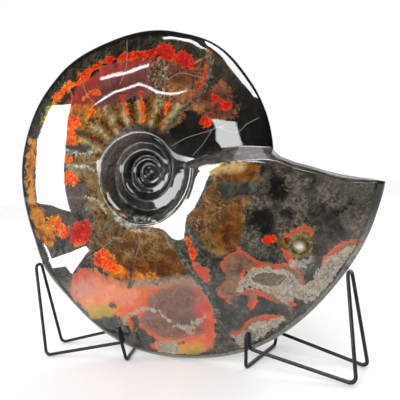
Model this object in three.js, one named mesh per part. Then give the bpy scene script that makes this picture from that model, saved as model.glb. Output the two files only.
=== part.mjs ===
// A polished ammonite held upright between two bent wire stands.
// Millimetres, +Z up, the front face looks along -Y.
// The source is laid out around the coil's axis: u runs right and v runs up in the plane of the disc.

import * as THREE from "three";

const DEGREE = Math.PI / 180;

// Shell outline, a logarithmic spiral that opens anticlockwise seen from the front
const START_RADIUS = 97.3;
const GROWTH_PER_RADIAN = 0.0905;
const AXIS_HEIGHT = 150.6;
const RIM_WAVES = [
  [6, -0.005], [35, 0], [55, 0.016], [75, -0.006], [105, -0.026], [132, 0.002], [150, 0.013], [170, 0.014],
  [202, -0.014], [214, 0.004], [230, -0.013], [258, 0.012], [278, 0.002], [295, 0.007], [325, -0.009],
  [345, 0.001], [353, 0.004],
];

// Whorl section, as shares of the whorl's own radius and of its height from seam to rim
const SEAM_SHARE = 0.205;
const HALF_THICKNESS_SHARE = 0.178;
const SHOULDER_SHARE = 0.085;
const SEAM_DROP = 0.45;
const SEAM_STEEPNESS = 2.2;
const FLANK_FALL = 0.89;
const FLANK_POWER = 1.25;
const RIM_ROUNDING = 5;
const SEAM_BLEND = 2;
const COIL_COUNT = 5;

// Mouth of the shell, [radius, degrees]: the front edge of the last whorl, and the foot of the mouth's face,
// which runs over the whorl before as far as its rim and then along the middle of the shell to the tip
const MOUTH_EDGE = [
  [30, 3], [38, -1], [46, -1], [54, 0.8], [84, 0.9], [93, 0.7], [101, -0.1], [114, -3.3], [124, -4.5],
  [143, -6.8], [149, -7.2], [161, -7], [170, -6.6],
];
const MOUTH_FOOT = [
  [30, 3], [36, 6], [50, 8.4], [61, 8.5], [70, 9.2], [76, 9.2], [86, 7.4], [94, 6], [97.5, 6], [98, 4.4],
  [102, 1.7], [112, -1], [123, -2.7], [133, -4.2], [143, -5.2], [153, -5.8], [162, -6.1], [170, -6.6],
];
const MOUTH_START_RADIUS = 30;
const NOTCH_ANGLE = 6;
const TIP_ANGLE = 353.4;
const NOTCH_BLEND = 25;
const TIP_BLEND = 30;

// Facets of the shell. The height on the axis is the one at the centre radius.
const CENTRE_RADIUS = 1;
const LINE_COUNT = 58;
const INNER_RADII = [4, 8, 12, 15.5, 19, 22.5, 26, MOUTH_START_RADIUS, 34, 38, 42, 47];
const FLANK_ROWS = 7;
const RIM_ROWS = [1, 0.55, 0.25, 0.06, 0];

// Wire stands, each one closed loop of round wire, mirrored front to back
const WIRE_RADIUS = 1.3;
const WIRE_SIDES = 8;
const BEND_STEPS = 5;
const FOOT_HALF_WIDTH = 14.4;
const FOOT_CORNER_HEIGHT = 0.78;
const FOOT_BEND = 4;
const ARCH_HALF_WIDTH = 4.6;
const ARCH_BEND = 4;
// The inner prongs stand a little forward of the middle of the outer feet
const PRONG = {
  forward: 3,
  kneeReach: 73.3, kneeHalfWidth: 20.4, kneeHeight: 14.3, kneeBend: 3,
  topReach: 71.4, topInner: 22.6, topOuter: 27, topHeight: 27, topBend: 2.1,
  baseReach: 75.3, baseHalfWidth: 24, baseBend: 3,
};
const STANDS = [
  { name: "left_stand", side: -1, x: -108.1, y: -2.6, turn: 11.9, archHeight: 76.9, archReach: -8.3 },
  { name: "right_stand", side: 1, x: 148.4, y: -5.5, turn: -17.1, archHeight: 71.6, archReach: 4.6 },
];

const SHELL_FINISH = { color: 0x5a3423, roughness: 0.12, metalness: 0 };
const WIRE_FINISH = { color: 0x141414, roughness: 0.35, metalness: 0 };

const smooth = (t) => t * t * (3 - 2 * t);
const clamp = (value, low, high) => Math.min(high, Math.max(low, value));

function rimWave(angle) {
  if (angle <= RIM_WAVES[0][0]) return RIM_WAVES[0][1];
  for (let i = 1; i < RIM_WAVES.length; i += 1) {
    const [a0, w0] = RIM_WAVES[i - 1];
    const [a1, w1] = RIM_WAVES[i];
    if (angle <= a1) return w0 + (w1 - w0) * smooth((angle - a0) / (a1 - a0));
  }
  return RIM_WAVES[RIM_WAVES.length - 1][1];
}

function plainRadius(angle) {
  return START_RADIUS * Math.exp(GROWTH_PER_RADIAN * angle * DEGREE);
}

function rimRadius(angle) {
  return plainRadius(angle) * (1 + rimWave(angle));
}

// Degrees at a radius along a table of [radius, degrees]
function degreesAt(table, radius) {
  if (radius <= table[0][0]) return table[0][1];
  for (let i = 1; i < table.length; i += 1) {
    const [r0, d0] = table[i - 1];
    const [r1, d1] = table[i];
    if (radius <= r1) return d0 + ((d1 - d0) * (radius - r0)) / (r1 - r0);
  }
  return table[table.length - 1][1];
}

// Share of the whorl's thickness at a share of its height from seam to rim
function sectionShare(share) {
  if (share < SHOULDER_SHARE) {
    return 1 - SEAM_DROP * (1 - share / SHOULDER_SHARE) ** SEAM_STEEPNESS;
  }
  return 1 - FLANK_FALL * ((share - SHOULDER_SHARE) / (1 - SHOULDER_SHARE)) ** FLANK_POWER;
}

function whorlHalfThickness(radius, angle) {
  const rim = angle > 0 ? rimRadius(angle) : plainRadius(angle);
  const seam = SEAM_SHARE * plainRadius(angle);
  if (radius >= rim || radius <= seam - SEAM_BLEND) return 0;
  const share = clamp((radius - seam) / (rim - seam), 0, 1);
  const fromRim = clamp((rim - radius) / RIM_ROUNDING, 0, 1);
  const fromSeam = clamp(1 - (seam - radius) / SEAM_BLEND, 0, 1);
  const full = HALF_THICKNESS_SHARE * plainRadius(angle) * sectionShare(share);
  return full * Math.sqrt(1 - (1 - fromRim) ** 2) * fromSeam;
}

// Half thickness of the coil at an angle counted on from the start of the outline
function halfThickness(radius, angle) {
  let half = 0;
  for (let coil = 0; coil < COIL_COUNT; coil += 1) {
    half = Math.max(half, whorlHalfThickness(radius, angle - 360 * coil));
  }
  return half;
}

// Mesh lines run out from the axis. They are straight except near the mouth, where they follow it.
function lineAngle(reference, radius) {
  const nearNotch = smooth(clamp(1 - (reference - NOTCH_ANGLE) / NOTCH_BLEND, 0, 1));
  const nearTip = smooth(clamp(1 - (TIP_ANGLE - reference) / TIP_BLEND, 0, 1));
  const footShift = degreesAt(MOUTH_FOOT, Math.min(radius, rimRadius(NOTCH_ANGLE))) - NOTCH_ANGLE;
  const edgeShift = degreesAt(MOUTH_EDGE, radius) + 360 - TIP_ANGLE;
  return reference + footShift * nearNotch + edgeShift * nearTip;
}

function rowRadii(reference) {
  const outline = rimRadius(reference);
  const innermost = INNER_RADII[INNER_RADII.length - 1];
  const radii = [...INNER_RADII];
  for (let i = 1; i <= FLANK_ROWS; i += 1) {
    radii.push(innermost + ((outline - RIM_ROUNDING - innermost) * i) / (FLANK_ROWS + 1));
  }
  for (const share of RIM_ROWS) {
    radii.push(outline - RIM_ROUNDING * share);
  }
  return radii;
}

function shellGeometry() {
  const positions = [];
  const indices = [];
  const vertices = { "-1": [], 1: [] };
  const rowCount = INNER_RADII.length + FLANK_ROWS + RIM_ROWS.length;
  const sharedRows = INNER_RADII.indexOf(MOUTH_START_RADIUS) + 1;

  const add = (radius, degrees, y) => {
    const u = radius * Math.cos(degrees * DEGREE);
    const v = radius * Math.sin(degrees * DEGREE);
    positions.push(u, y, AXIS_HEIGHT + v);
    return positions.length / 3 - 1;
  };

  const axis = {};
  for (const side of [-1, 1]) {
    axis[side] = add(0, 0, side * halfThickness(CENTRE_RADIUS, 0));
  }
  for (let line = 0; line <= LINE_COUNT; line += 1) {
    const reference = NOTCH_ANGLE + ((TIP_ANGLE - NOTCH_ANGLE) * line) / LINE_COUNT;
    const radii = rowRadii(reference);
    const rim = add(radii[rowCount - 1], reference, 0);
    for (const side of [-1, 1]) {
      vertices[side].push(radii.map((radius, row) => {
        if (row === rowCount - 1) return rim;
        if (line === LINE_COUNT && row < sharedRows) return vertices[side][0][row];
        const angle = lineAngle(reference, radius);
        return add(radius, angle, side * halfThickness(radius, angle));
      }));
    }
  }
  const middleFoot = MOUTH_FOOT.slice(0, -1).filter(([radius]) => radius > rimRadius(NOTCH_ANGLE));
  const footAlongMiddle = middleFoot.map(([radius, degrees]) => ({ radius, at: add(radius, degrees, 0) }));

  for (const side of [-1, 1]) {
    const triangle = (a, b, c) => {
      if (side < 0) indices.push(a, b, c);
      else indices.push(a, c, b);
    };
    for (let line = 0; line < LINE_COUNT; line += 1) {
      const here = vertices[side][line];
      const next = vertices[side][line + 1];
      triangle(axis[side], here[0], next[0]);
      for (let row = 0; row < rowCount - 1; row += 1) {
        triangle(here[row], here[row + 1], next[row + 1]);
        triangle(here[row], next[row + 1], next[row]);
      }
    }
    const edgeRadii = rowRadii(TIP_ANGLE).slice(sharedRows - 1);
    const footRadii = rowRadii(NOTCH_ANGLE).slice(sharedRows - 1);
    const edge = vertices[side][LINE_COUNT].slice(sharedRows - 1);
    const foot = vertices[side][0].slice(sharedRows - 1);
    const edgePoints = edge.map((at, i) => ({ radius: edgeRadii[i], at }));
    const footPoints = foot.map((at, i) => ({ radius: footRadii[i], at })).concat(footAlongMiddle);
    footPoints.push(edgePoints[edgePoints.length - 1]);
    fillBetween(edgePoints, footPoints, triangle);
  }
  return indexedGeometry(positions, indices);
}

// Triangles of the mouth's face, between two lines of points that share their first and last points
function fillBetween(edge, foot, triangle) {
  triangle(edge[0].at, edge[1].at, foot[1].at);
  let i = 1;
  let j = 1;
  while (i < edge.length - 2 || j < foot.length - 2) {
    const footDone = j >= foot.length - 2;
    if (i < edge.length - 2 && (footDone || edge[i + 1].radius <= foot[j + 1].radius)) {
      triangle(edge[i].at, edge[i + 1].at, foot[j].at);
      i += 1;
    } else {
      triangle(edge[i].at, foot[j + 1].at, foot[j].at);
      j += 1;
    }
  }
  triangle(edge[i].at, edge[i + 1].at, foot[j].at);
}

function indexedGeometry(positions, indices) {
  const geometry = new THREE.BufferGeometry();
  geometry.setAttribute("position", new THREE.Float32BufferAttribute(positions, 3));
  geometry.setIndex(indices);
  geometry.computeVertexNormals();
  return geometry;
}

// Corners of one stand's wire with the bend radius at each, x running inward from the outer feet
function standCorners(stand) {
  const prong = [
    [PRONG.baseReach, PRONG.baseHalfWidth, WIRE_RADIUS, PRONG.baseBend],
    [PRONG.topReach, PRONG.topOuter, PRONG.topHeight, PRONG.topBend],
    [PRONG.topReach, PRONG.topInner, PRONG.topHeight, PRONG.topBend],
    [PRONG.kneeReach, PRONG.kneeHalfWidth, PRONG.kneeHeight, PRONG.kneeBend],
  ];
  const outer = [
    [0, FOOT_HALF_WIDTH, FOOT_CORNER_HEIGHT, FOOT_BEND],
    [stand.archReach, ARCH_HALF_WIDTH, stand.archHeight, ARCH_BEND],
  ];
  const corner = ([reach, width, height, bend], side, forward) => {
    const at = new THREE.Vector3(-reach, side * width - forward, height);
    return { at, bend };
  };
  const half = (side) => [
    ...prong.map((point) => corner(point, side, PRONG.forward)),
    ...outer.map((point) => corner(point, side, 0)),
  ];
  return [...half(1), ...half(-1).reverse()];
}

// Points along the wire's centre line with its direction at each, starting at the middle of the cross wire
function wireCentreLine(stand) {
  const corners = standCorners(stand);
  const start = new THREE.Vector3(-PRONG.baseReach, -PRONG.forward, WIRE_RADIUS);
  const line = [{ at: start, direction: new THREE.Vector3(0, 1, 0) }];
  corners.forEach(({ at, bend }, i) => {
    const before = corners[(i + corners.length - 1) % corners.length].at;
    const after = corners[(i + 1) % corners.length].at;
    const back = before.clone().sub(at).normalize();
    const forward = after.clone().sub(at).normalize();
    const between = back.angleTo(forward);
    const middle = back.clone().add(forward).normalize();
    const centre = at.clone().addScaledVector(middle, bend / Math.sin(between / 2));
    const spoke = at.clone().addScaledVector(back, bend / Math.tan(between / 2)).sub(centre);
    const axis = new THREE.Vector3().crossVectors(back, forward).negate().normalize();
    for (let step = 0; step <= BEND_STEPS; step += 1) {
      const turned = ((Math.PI - between) * step) / BEND_STEPS;
      line.push({
        at: spoke.clone().applyAxisAngle(axis, turned).add(centre),
        direction: back.clone().negate().applyAxisAngle(axis, turned),
      });
    }
  });
  return line;
}

// Sweep a ring of sides along the closed centre line, turning it as little as possible
function wireGeometry(stand) {
  const line = wireCentreLine(stand);
  const count = line.length;
  const down = new THREE.Vector3(0, 0, -1);
  const normals = [down];
  for (let i = 1; i <= count; i += 1) {
    const turn = new THREE.Quaternion().setFromUnitVectors(line[i - 1].direction, line[i % count].direction);
    normals.push(normals[i - 1].clone().applyQuaternion(turn));
  }
  const across = new THREE.Vector3().crossVectors(line[0].direction, down);
  const closing = Math.atan2(normals[count].dot(across), normals[count].dot(down));

  const ringRadius = WIRE_RADIUS / Math.cos(Math.PI / WIRE_SIDES);
  const crossWireEnd = BEND_STEPS + 1;
  const positions = [];
  const indices = [];
  for (let i = 0; i < count; i += 1) {
    const share = clamp((i - crossWireEnd) / (count - 2 * crossWireEnd), 0, 1);
    const side = new THREE.Vector3().crossVectors(line[i].direction, normals[i]);
    for (let k = 0; k < WIRE_SIDES; k += 1) {
      const around = (Math.PI * (2 * k + 1)) / WIRE_SIDES - closing * share;
      const at = line[i].at.clone();
      at.addScaledVector(normals[i], ringRadius * Math.cos(around));
      at.addScaledVector(side, ringRadius * Math.sin(around));
      positions.push(...placeOnFloor(stand, at));
    }
  }
  for (let i = 0; i < count; i += 1) {
    const next = (i + 1) % count;
    for (let k = 0; k < WIRE_SIDES; k += 1) {
      const beside = (k + 1) % WIRE_SIDES;
      const a = i * WIRE_SIDES + k;
      const b = i * WIRE_SIDES + beside;
      const c = next * WIRE_SIDES + beside;
      const d = next * WIRE_SIDES + k;
      if (stand.side > 0) indices.push(a, b, c, a, c, d);
      else indices.push(a, c, b, a, d, c);
    }
  }
  return indexedGeometry(positions, indices);
}

// Mirror the left stand, turn it about its outer feet and set it on the floor
function placeOnFloor(stand, point) {
  const x = point.x * stand.side;
  const sine = Math.sin(stand.turn * DEGREE);
  const cosine = Math.cos(stand.turn * DEGREE);
  return [stand.x + cosine * x - sine * point.y, stand.y + sine * x + cosine * point.y, point.z];
}

function part(name, geometry, finish) {
  const mesh = new THREE.Mesh(geometry, new THREE.MeshStandardMaterial(finish));
  mesh.name = name;
  return mesh;
}

const group = new THREE.Group();
group.add(part("ammonite", shellGeometry(), SHELL_FINISH));
for (const stand of STANDS) {
  group.add(part(stand.name, wireGeometry(stand), WIRE_FINISH));
}

// The origin sits on the floor under the middle of the object
const box = new THREE.Box3().setFromObject(group);
const middle = box.getCenter(new THREE.Vector3());
for (const mesh of group.children) {
  mesh.geometry.translate(-middle.x, -middle.y, -box.min.z);
}

export default group;
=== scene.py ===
# Looks of a polished ammonite held upright between two bent wire stands.
# Shapes are in millimetres and turned into metres where a mesh is made. Lamps are placed in metres.

import bpy
import numpy as np
from mathutils import Matrix, Vector


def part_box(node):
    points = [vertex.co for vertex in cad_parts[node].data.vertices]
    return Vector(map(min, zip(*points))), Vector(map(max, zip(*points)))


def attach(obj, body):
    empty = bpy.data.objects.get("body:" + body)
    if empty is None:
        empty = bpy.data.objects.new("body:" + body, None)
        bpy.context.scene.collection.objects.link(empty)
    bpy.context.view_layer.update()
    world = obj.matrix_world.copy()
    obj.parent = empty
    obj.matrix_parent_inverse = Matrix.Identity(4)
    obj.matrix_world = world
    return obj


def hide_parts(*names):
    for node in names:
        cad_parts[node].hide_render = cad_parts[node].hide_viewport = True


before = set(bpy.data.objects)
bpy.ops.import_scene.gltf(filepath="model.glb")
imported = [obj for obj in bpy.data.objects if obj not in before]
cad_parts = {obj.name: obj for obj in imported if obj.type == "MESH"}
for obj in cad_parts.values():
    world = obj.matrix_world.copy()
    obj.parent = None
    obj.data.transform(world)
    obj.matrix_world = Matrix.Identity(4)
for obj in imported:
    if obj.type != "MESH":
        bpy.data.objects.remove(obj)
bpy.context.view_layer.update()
MM = 0.001

# Shell outline and whorl section, as in the solid: a logarithmic spiral that opens anticlockwise
START_RADIUS = 97.3
GROWTH_PER_RADIAN = 0.0905
RIM_WAVES = [
    (6, -0.005), (35, 0), (55, 0.016), (75, -0.006), (105, -0.026), (132, 0.002), (150, 0.013), (170, 0.014),
    (202, -0.014), (214, 0.004), (230, -0.013), (258, 0.012), (278, 0.002), (295, 0.007), (325, -0.009),
    (345, 0.001), (353, 0.004),
]
SEAM_SHARE = 0.205
HALF_THICKNESS_SHARE = 0.178
SHOULDER_SHARE = 0.085
SEAM_DROP = 0.45
SEAM_STEEPNESS = 2.2
FLANK_FALL = 0.89
FLANK_POWER = 1.25
RIM_ROUNDING = 5
SEAM_BLEND = 2
COIL_COUNT = 5

# Mouth of the shell, (radius, degrees): its front edge, and the foot of its face on the whorl before
MOUTH_EDGE = [
    (30, 3), (38, -1), (46, -1), (54, 0.8), (84, 0.9), (93, 0.7), (101, -0.1), (114, -3.3), (124, -4.5),
    (143, -6.8), (149, -7.2), (161, -7), (170, -6.6),
]
MOUTH_FOOT = [
    (30, 3), (36, 6), (50, 8.4), (61, 8.5), (70, 9.2), (76, 9.2), (86, 7.4), (94, 6), (97.5, 6), (98, 4.4),
    (102, 1.7), (112, -1), (123, -2.7), (133, -4.2), (143, -5.2), (153, -5.8), (162, -6.1), (170, -6.6),
]
MOUTH_START_RADIUS = 30
NOTCH_ANGLE = 6
TIP_ANGLE = 353.4
NOTCH_BLEND = 25
TIP_BLEND = 30

# Fineness of the shell's mesh, per side
LINE_COUNT = 560
FRONT_ROWS = {"inner": 44, "flank": 52, "rim": 12}
BACK_ROWS = {"inner": 20, "flank": 24, "rim": 8}
INNER_END = 36
CENTRE_RADIUS = 1

# The coil's axis in the frame: left of the middle, on the shell's own middle plane, at this height
AXIS_X = -19.48
AXIS_HEIGHT = 150.6
AXIS_Y = sum(corner[1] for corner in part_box("ammonite")) / 2 / MM
AXIS = np.array([AXIS_X, AXIS_Y, AXIS_HEIGHT])

# Wire stands, each one closed loop of round wire, as in the solids
WIRE_RADIUS = 1.3
WIRE_SIDES = 20
BEND_STEPS = 10
FOOT_HALF_WIDTH = 14.4
FOOT_CORNER_HEIGHT = 0.78
FOOT_BEND = 4
ARCH_HALF_WIDTH = 4.6
ARCH_BEND = 4
PRONG_FORWARD = 3
PRONG_CORNERS = [
    (75.3, 24, WIRE_RADIUS, 3), (71.4, 27, 27, 2.1), (71.4, 22.6, 27, 2.1), (73.3, 20.4, 14.3, 3),
]
STANDS = [
    {"name": "left_stand", "side": -1, "x": -108.1, "y": -2.6, "turn": 11.9, "arch": (-8.3, 76.9)},
    {"name": "right_stand", "side": 1, "x": 148.4, "y": -5.5, "turn": -17.1, "arch": (4.6, 71.6)},
]
STAND_SHIFT = (-19.4845, -4.5721)

# The photograph's camera
CAMERA_PLACE = (125.2, -300.6, 137.2)
CAMERA_YAW, CAMERA_PITCH, CAMERA_ROLL = np.radians([19.69, -2.09, -4.05])
CAMERA_LENS = 36.83
SENSOR_WIDTH = 36
IMAGE_SIZE = 400


def camera_axes():
    """The camera's right, up and forward directions."""
    sin, cos = np.sin, np.cos
    forward = np.array([
        -sin(CAMERA_YAW) * cos(CAMERA_PITCH), cos(CAMERA_YAW) * cos(CAMERA_PITCH), sin(CAMERA_PITCH),
    ])
    level = np.array([cos(CAMERA_YAW), sin(CAMERA_YAW), 0])
    upright = np.cross(level, forward)
    right = cos(CAMERA_ROLL) * level + sin(CAMERA_ROLL) * upright
    up = -sin(CAMERA_ROLL) * level + cos(CAMERA_ROLL) * upright
    return right, up, forward


def to_pixels(points):
    """Where points of the frame, in millimetres, fall in the photograph."""
    right, up, forward = camera_axes()
    focal = IMAGE_SIZE * CAMERA_LENS / SENSOR_WIDTH
    away = points - np.array(CAMERA_PLACE)
    depth = away @ forward
    x = IMAGE_SIZE / 2 + focal * (away @ right) / depth
    y = IMAGE_SIZE / 2 - focal * (away @ up) / depth
    return x, y


def pixel_ray(x, y):
    """The direction from the camera through a pixel of the photograph."""
    right, up, forward = camera_axes()
    focal = IMAGE_SIZE * CAMERA_LENS / SENSOR_WIDTH
    ray = forward + right * (x - IMAGE_SIZE / 2) / focal - up * (y - IMAGE_SIZE / 2) / focal
    return ray / np.linalg.norm(ray)


# Shape of the shell

def smooth(t):
    """0 to 1 with a soft start and end."""
    return t * t * (3 - 2 * t)


def rim_wave(angle):
    angles, waves = np.array(RIM_WAVES, float).T
    angle = np.clip(angle, angles[0], angles[-1])
    i = np.clip(np.searchsorted(angles, angle), 1, len(angles) - 1)
    step = (angle - angles[i - 1]) / (angles[i] - angles[i - 1])
    return waves[i - 1] + (waves[i] - waves[i - 1]) * smooth(step)


def plain_radius(angle):
    return START_RADIUS * np.exp(GROWTH_PER_RADIAN * np.radians(angle))


def rim_radius(angle):
    return plain_radius(angle) * (1 + rim_wave(angle))


def section_share(share):
    inner = 1 - SEAM_DROP * (1 - np.clip(share / SHOULDER_SHARE, 0, 1)) ** SEAM_STEEPNESS
    outer = 1 - FLANK_FALL * np.clip((share - SHOULDER_SHARE) / (1 - SHOULDER_SHARE), 0, 1) ** FLANK_POWER
    return np.where(share < SHOULDER_SHARE, inner, outer)


def whorl_half_thickness(radius, angle):
    plain = plain_radius(angle)
    rim = np.where(angle > 0, rim_radius(angle), plain)
    seam = SEAM_SHARE * plain
    share = np.clip((radius - seam) / (rim - seam), 0, 1)
    from_rim = np.clip((rim - radius) / RIM_ROUNDING, 0, 1)
    from_seam = np.clip(1 - (seam - radius) / SEAM_BLEND, 0, 1)
    full = HALF_THICKNESS_SHARE * plain * section_share(share)
    half = full * np.sqrt(1 - (1 - from_rim) ** 2) * from_seam
    return np.where((radius >= rim) | (radius <= seam - SEAM_BLEND), 0, half)


def half_thickness(radius, angle):
    half = np.zeros(np.broadcast(radius, angle).shape)
    for coil in range(COIL_COUNT):
        half = np.maximum(half, whorl_half_thickness(radius, angle - 360 * coil))
    return half


def degrees_at(table, radius):
    radii, degrees = np.array(table, float).T
    return np.interp(radius, radii, degrees)


def line_angle(reference, radius):
    near_notch = smooth(np.clip(1 - (reference - NOTCH_ANGLE) / NOTCH_BLEND, 0, 1))
    near_tip = smooth(np.clip(1 - (TIP_ANGLE - reference) / TIP_BLEND, 0, 1))
    foot = degrees_at(MOUTH_FOOT, np.minimum(radius, rim_radius(NOTCH_ANGLE))) - NOTCH_ANGLE
    edge = degrees_at(MOUTH_EDGE, radius) + 360 - TIP_ANGLE
    return reference + foot * near_notch + edge * near_tip


def front_height(u, v):
    """Half thickness of the shell at a place in its plane. The last whorl ends at the mouth's edge."""
    radius = np.hypot(u, v)
    angle = np.degrees(np.arctan2(v, u)) % 360
    past_edge = (angle < degrees_at(MOUTH_EDGE, radius)) & (radius > MOUTH_START_RADIUS)
    return half_thickness(radius, np.where(past_edge, angle + 360, angle))


def row_radii(reference, rows):
    outline = rim_radius(reference)
    inner = np.linspace(CENTRE_RADIUS, INNER_END, rows["inner"])
    flank = np.linspace(INNER_END, outline - RIM_ROUNDING, rows["flank"] + 2)[1:-1]
    rim = outline - RIM_ROUNDING * (1 - np.sin(np.linspace(0, np.pi / 2, rows["rim"])))
    return np.concatenate([inner, flank, rim])


# Markings, as outlines and strokes in pixels of the photograph. Each is laid on the shell where that pixel's
# sight line meets it, and mirrored with some wandering on the back. Which lies over which is told by
# marking_layers. A marking has its edge's raggedness and softness in pixels, its outlines, and its strokes,
# each with a half width.

def marking(ragged, soft, outlines, strokes=()):
    return {"ragged": ragged, "soft": soft, "outlines": outlines, "strokes": strokes}


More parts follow.
